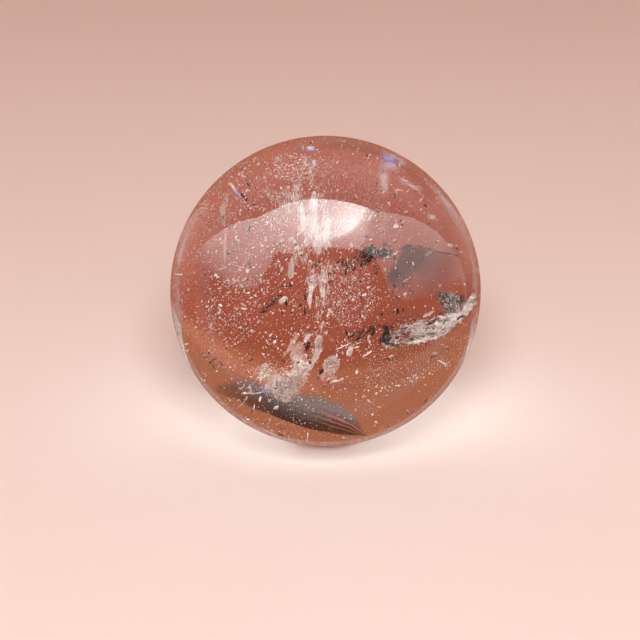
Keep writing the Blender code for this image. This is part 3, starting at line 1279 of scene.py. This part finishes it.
def tent_light():
    """Cloth that glows more towards its middle, and a window that dims to the left and the back."""
    material, tree, cloth = plain_light("tent_light")
    uv = tree.nodes.new("ShaderNodeUVMap")
    uv.uv_map = "sheet"
    across, back, _ = parts_of(tree, uv.outputs["UV"])
    left, right = TENT_SPAN
    glow = [((at - left) / (right - left), (light,) * 3) for at, light in TENT_GLOW]
    tree.links.new(shaded(tree, across, *glow), cloth.inputs["Color"])
    front = ranged(tree, back, TENT_STRENGTH * FRONT_DIMMING, TENT_STRENGTH, 0.0, FRONT_SHARE)
    tree.links.new(front, cloth.inputs["Strength"])
    glass = tree.nodes.new("ShaderNodeEmission")
    rise = ranged(tree, across, WINDOW_LEFT_DIMMING, 1.0, *WINDOW_RISE)
    window = multiplied(tree, window_shape(tree, uv.outputs["UV"]), rise)
    dimmed = ranged(tree, back, WINDOW_STRENGTH, WINDOW_BACK_DIMMING * WINDOW_STRENGTH, *WINDOW_TOP)
    tree.links.new(multiplied(tree, window, dimmed), glass.inputs["Strength"])
    both = tree.nodes.new("ShaderNodeAddShader")
    tree.links.new(cloth.outputs["Emission"], both.inputs[0])
    tree.links.new(glass.outputs["Emission"], both.inputs[1])
    tree.links.new(both.outputs["Shader"], tree.nodes["Material Output"].inputs["Surface"])
    return material


def window_shape(tree, uv):
    """One in the window's core, less in the band along its edge, and zero outside."""
    mapping = tree.nodes.new("ShaderNodeMapping")
    mapping.vector_type = "TEXTURE"
    mapping.inputs["Location"].default_value = WINDOW_MIDDLE
    mapping.inputs["Scale"].default_value = WINDOW_HALF_SIZES
    tree.links.new(uv, mapping.inputs["Vector"])
    spot = tree.nodes.new("ShaderNodeTexGradient")
    spot.gradient_type = "SPHERICAL"
    tree.links.new(mapping.outputs["Vector"], spot.inputs["Vector"])
    return shaded(tree, spot.outputs["Fac"], *((share, (light,) * 3) for share, light in WINDOW_PROFILE))


KEY_ELEVATION = math.radians(46)
KEY_DISTANCE = 0.60
KEY_SIZE = (0.30, 0.12)
KEY_WATTS = 3.3


def make_key():
    """The soft light from above the camera, which casts the ball's shadow behind it."""
    light = bpy.data.lights.new("key", "AREA")
    light.shape = "RECTANGLE"
    light.size, light.size_y = KEY_SIZE
    light.energy = KEY_WATTS
    key = bpy.data.objects.new("key", light)
    towards = Vector((0.0, -math.cos(KEY_ELEVATION), math.sin(KEY_ELEVATION)))
    key.location = CENTRE + towards * KEY_DISTANCE
    key.rotation_mode = "QUATERNION"
    key.rotation_quaternion = (-towards).to_track_quat("-Z", "Y")
    hide_from(key, "camera", "glossy", "transmission")
    bpy.context.scene.collection.objects.link(key)


def pale_floor():
    """Matt and pale, with a faint wide mottle."""
    material, tree, shader = new_finish("pale_floor")
    cloud = mottle(tree, own_place(tree), 14.0)
    colour = shaded(tree, cloud, (0.3, (0.82, 0.745, 0.695)), (0.7, (0.84, 0.765, 0.715)))
    tree.links.new(colour, shader.inputs["Base Color"])
    shader.inputs["Roughness"].default_value = 0.8
    return material


def level_sheet(half_width, height):
    """A level square at this height."""
    work = bmesh.new()
    place = Matrix.Translation((0.0, 0.0, height))
    bmesh.ops.create_grid(work, x_segments=1, y_segments=1, size=half_width, matrix=place)
    return work


def make_floor():
    """The floor, which the ball doesn't mirror, because its glare would wash out the lower half."""
    stage_object("floor", level_sheet(FLOOR_HALF_WIDTH, -FLOOR_DROP), pale_floor(), "glossy")


BACKDROP_REACH = 0.75
BACKDROP_HEIGHT = 0.8
BACKDROP_SEGMENTS = 128
BACKDROP_SHADES = ((0.0, (0.42, 0.20, 0.17)), (0.25, (0.68, 0.50, 0.44)))  # share of its height, and colour; the darker foot is painted shade


def backdrop_light():
    """An even pale glowing wall, with painted shade that makes it a little darker at its foot."""
    material, tree, lamp = plain_light("backdrop_light")
    height = ranged(tree, parts_of(tree, own_place(tree))["Z"], 0.0, 1.0, 0.0, BACKDROP_HEIGHT)
    tree.links.new(shaded(tree, height, *BACKDROP_SHADES), lamp.inputs["Color"])
    return material


def make_backdrop():
    """A round wall at the floor's end, which shows in low views only and casts no light or shade."""
    work = bmesh.new()
    bmesh.ops.create_circle(work, segments=BACKDROP_SEGMENTS, radius=BACKDROP_REACH)
    grown = bmesh.ops.extrude_edge_only(work, edges=work.edges[:])
    top = [item for item in grown["geom"] if isinstance(item, bmesh.types.BMVert)]
    bmesh.ops.translate(work, verts=top, vec=(0.0, 0.0, BACKDROP_HEIGHT))
    stage_object("backdrop", work, backdrop_light(), "diffuse", "glossy", "transmission", "shadow")


CARD_TOP = 0.0015
# Distance behind the ball's middle in metres, and colour: painted light and shade of the ground behind the
# ball, darkest from 0.043 to 0.058. The crystal shows it from 0.027 to 0.060.
CARD_SHADES = (
    (0.0, (0.32, 0.12, 0.08)), (0.026, (0.46, 0.148, 0.11)), (0.032, (0.45, 0.14, 0.105)),
    (0.043, (0.335, 0.076, 0.046)), (0.058, (0.31, 0.066, 0.033)), (0.090, (0.41, 0.130, 0.068)),
    (0.20, (0.38, 0.118, 0.068)),
)
CARD_REACH = 0.25
CARD_HALF_WIDTH = 3.0
# Across this width it grows lighter, towards the side that the ball shows at its left
CARD_SIDES = (-0.015, 0.045)


def warm_card_light():
    """A glow of painted light and shade that changes with the distance behind the ball, and is a little
    lighter towards the left.
    """
    material, tree, lamp = plain_light("warm_card")
    place = own_place(tree)
    across, back, _ = parts_of(tree, place)
    behind = ranged(tree, back, 0.0, 1.0, 0.0, CARD_REACH)
    shades = [(distance / CARD_REACH, colour) for distance, colour in CARD_SHADES]
    tree.links.new(shaded(tree, behind, *shades), lamp.inputs["Color"])
    cloud = mottle(tree, place, 60.0, detail=2.0)
    sides = ranged(tree, across, 0.94, 1.28, *CARD_SIDES)
    strength = multiplied(tree, sides, ranged(tree, cloud, 0.88, 1.16))
    tree.links.new(strength, lamp.inputs["Strength"])
    return material


def make_warm_card():
    """A warm sheet just above the floor, which shows only through the crystal and glows with painted light
    and shade.
    """
    card = level_sheet(CARD_HALF_WIDTH, CARD_TOP)
    stage_object("warm_card", card, warm_card_light(), "camera", "diffuse", "glossy", "shadow")


ROOM_COLOUR = (0.40, 0.133, 0.068)
ROOM_RIM_COLOUR = (0.48, 0.33, 0.32)
# Share of the view straight ahead, and colour
ROOM_SHADES = ((0.02, ROOM_COLOUR), (0.10, ROOM_RIM_COLOUR), (0.30, ROOM_RIM_COLOUR), (0.38, ROOM_COLOUR))
# The dark lens low at the left, in pixels: its ends, and its lower and upper edges from left to right.
# It is a gap in the room behind the ball, which the ball turns upside down.
LENS_ENDS = ((214, 389), (366.6, 435.2))
LENS_FOOT = ((216, 392), (236, 400), (253, 408.6), (268.5, 414), (290, 422.7), (312, 430), (329, 433))
LENS_TOP = ((217, 381.5), (236, 376.6), (254, 378), (320, 393.5), (341.7, 402), (358, 415))
GAP_LIFT = 0.1  # added to heights, because a ramp holds no value below zero
GAP_SHARP_EDGE = 0.010
GAP_SOFT_EDGE = 0.055
GAP_END = 0.11  # share of the way over which its left end fades in
GAP_THINNEST = 0.45
GAP_THINNING = (0.55, 0.95)  # it thins to that between these shares of the way to its right end
GAP_AHEAD = 0.05  # it comes to its full dark this far ahead of the ball
# The Mix node's sockets for colours, by number, because those for values bear the same names
MIX_COLOURS = (6, 7)
MIX_RESULT = 2
# Distance below the upper edge, and colour
GAP_SHADES = (
    (0.0, (0.012, 0.006, 0.005)), (0.10, (0.022, 0.014, 0.012)),
    (0.17, (0.07, 0.05, 0.045)), (0.30, (0.22, 0.17, 0.155)),
)


def seen_through(pixel):
    """The direction that shows through the crystal at a pixel."""
    entry, inside = sight_line(pixel)
    chord = -2 * (entry - CENTRE).dot(inside)
    outward = (entry + inside * chord - CENTRE) / RADIUS
    facing = inside.dot(outward)
    bend = QUARTZ_IOR
    return inside * bend - outward * (bend * facing - math.sqrt(1 - bend**2 * (1 - facing**2)))


def gap_line(edge):
    """An edge of the gap as directions, x to the right and z up, in order of x."""
    return sorted((way.x, way.z) for way in map(seen_through, (*LENS_ENDS, *edge)))


def gap_edge(tree, share, points):
    """The height of the gap's edge, lifted above zero, at a share of the way from left to right."""
    left, right = points[0][0], points[-1][0]
    stops = (((x - left) / (right - left), (z + GAP_LIFT,) * 3) for x, z in points)
    return shaded(tree, share, *stops)


def gap_strength(tree, share, below, above, ahead):
    """How dark the gap is: crisp along one edge, soft along the other, and fading towards its ends."""
    strength = ranged(tree, below, 0.0, 1.0, 0.0, GAP_SHARP_EDGE)
    for part in (
        ranged(tree, above, 0.0, 1.0, 0.0, GAP_SOFT_EDGE),
        ranged(tree, share, 1.0, GAP_THINNEST, *GAP_THINNING),
        ranged(tree, share, 0.0, 1.0, 0.0, GAP_END),
        ranged(tree, ahead, 0.0, 1.0, 0.0, GAP_AHEAD),
    ):
        strength = multiplied(tree, strength, part)
    return strength


def room_tone(tree, direction):
    """Warm, but for a paler ring to the sides, which the crystal shows along its rim."""
    turned = tree.nodes.new("ShaderNodeMapping")
    turned.inputs["Rotation"].default_value = (CAMERA_ELEVATION, 0.0, 0.0)
    tree.links.new(direction, turned.inputs["Vector"])
    ahead = ranged(tree, parts_of(tree, turned.outputs["Vector"])["Y"], 0.0, 1.0, 0.0, 1.0)
    return shaded(tree, ahead, *ROOM_SHADES)


def make_room():
    """A warm dim room, with one dark gap behind the ball."""
    world = bpy.data.worlds.new("room")
    bpy.context.scene.world = world
    world.use_nodes = True
    tree = world.node_tree
    direction = tree.nodes.new("ShaderNodeTexCoord").outputs["Generated"]
    across, ahead, up = parts_of(tree, direction)
    upper = gap_line(LENS_FOOT)
    lower = gap_line(LENS_TOP)
    share = ranged(tree, across, 0.0, 1.0, upper[0][0], upper[-1][0])
    height = ranged(tree, up, 0.0, 1.0 + GAP_LIFT, -GAP_LIFT, 1.0)
    below = less(tree, gap_edge(tree, share, upper), height)
    above = less(tree, height, gap_edge(tree, share, lower))
    mix = tree.nodes.new("ShaderNodeMix")
    mix.data_type = "RGBA"
    tree.links.new(gap_strength(tree, share, below, above, ahead), mix.inputs["Factor"])
    tree.links.new(room_tone(tree, direction), mix.inputs[MIX_COLOURS[0]])
    tree.links.new(shaded(tree, below, *GAP_SHADES), mix.inputs[MIX_COLOURS[1]])
    tree.links.new(mix.outputs[MIX_RESULT], tree.nodes["Background"].inputs["Color"])


def make_camera():
    """The camera at the photograph's angle, shifted so that the ball lies where the photograph has it."""
    lens = bpy.data.cameras.new("camera")
    lens.lens = LENS
    lens.sensor_width = SENSOR
    lens.shift_x = (PICTURE / 2 - BALL_MIDDLE[0]) / PICTURE
    lens.shift_y = (BALL_MIDDLE[1] - PICTURE / 2) / PICTURE
    camera = bpy.data.objects.new("camera", lens)
    camera.location = CAMERA_PLACE
    camera.rotation_mode = "QUATERNION"
    camera.rotation_quaternion = (-VIEW_BACK).to_track_quat("-Z", "Y")
    bpy.context.scene.collection.objects.link(camera)
    bpy.context.scene.camera = camera


def main():
    noise.seed_set(NOISE_SEED)
    make_camera()
    frost = frosts()
    white, faint = frost["white"], frost["faint"]
    silver = silver_fracture()
    dark = dark_grains()
    crystal_ball(polished_quartz())
    make_specks(white, faint, dark)
    make_mist(white)
    make_veil(white, faint)
    make_wisps(faint)
    make_cloud_body(frost["cloudy"])
    make_cloud(white, faint)
    make_flecks(dark, silver)
    make_fracture(fracture_sheet(), silver)
    make_fracture_gaps(dark)
    make_disc(shadow_film(), dark, silver)
    make_dark_crack(dark)
    make_prism_streaks(prism_film())
    make_fan(white)
    single_flakes("cream_flakes", CREAM_FLAKES, frost["cream"])
    single_flakes("white_flakes", WHITE_FLAKES, white)
    single_flakes("ghost_flakes", GHOST_FLAKES, frost["ghost"])
    single_flakes("thin_flakes", THIN_FLAKES, faint, tear=0.2)
    make_speckled_patch(faint)
    make_soft_glints()
    make_rainbow_glints(rainbow_film())
    make_floor()
    make_backdrop()
    make_warm_card()
    make_tent()
    make_key()
    make_room()
    bpy.context.scene.view_settings.view_transform = "Standard"


main()
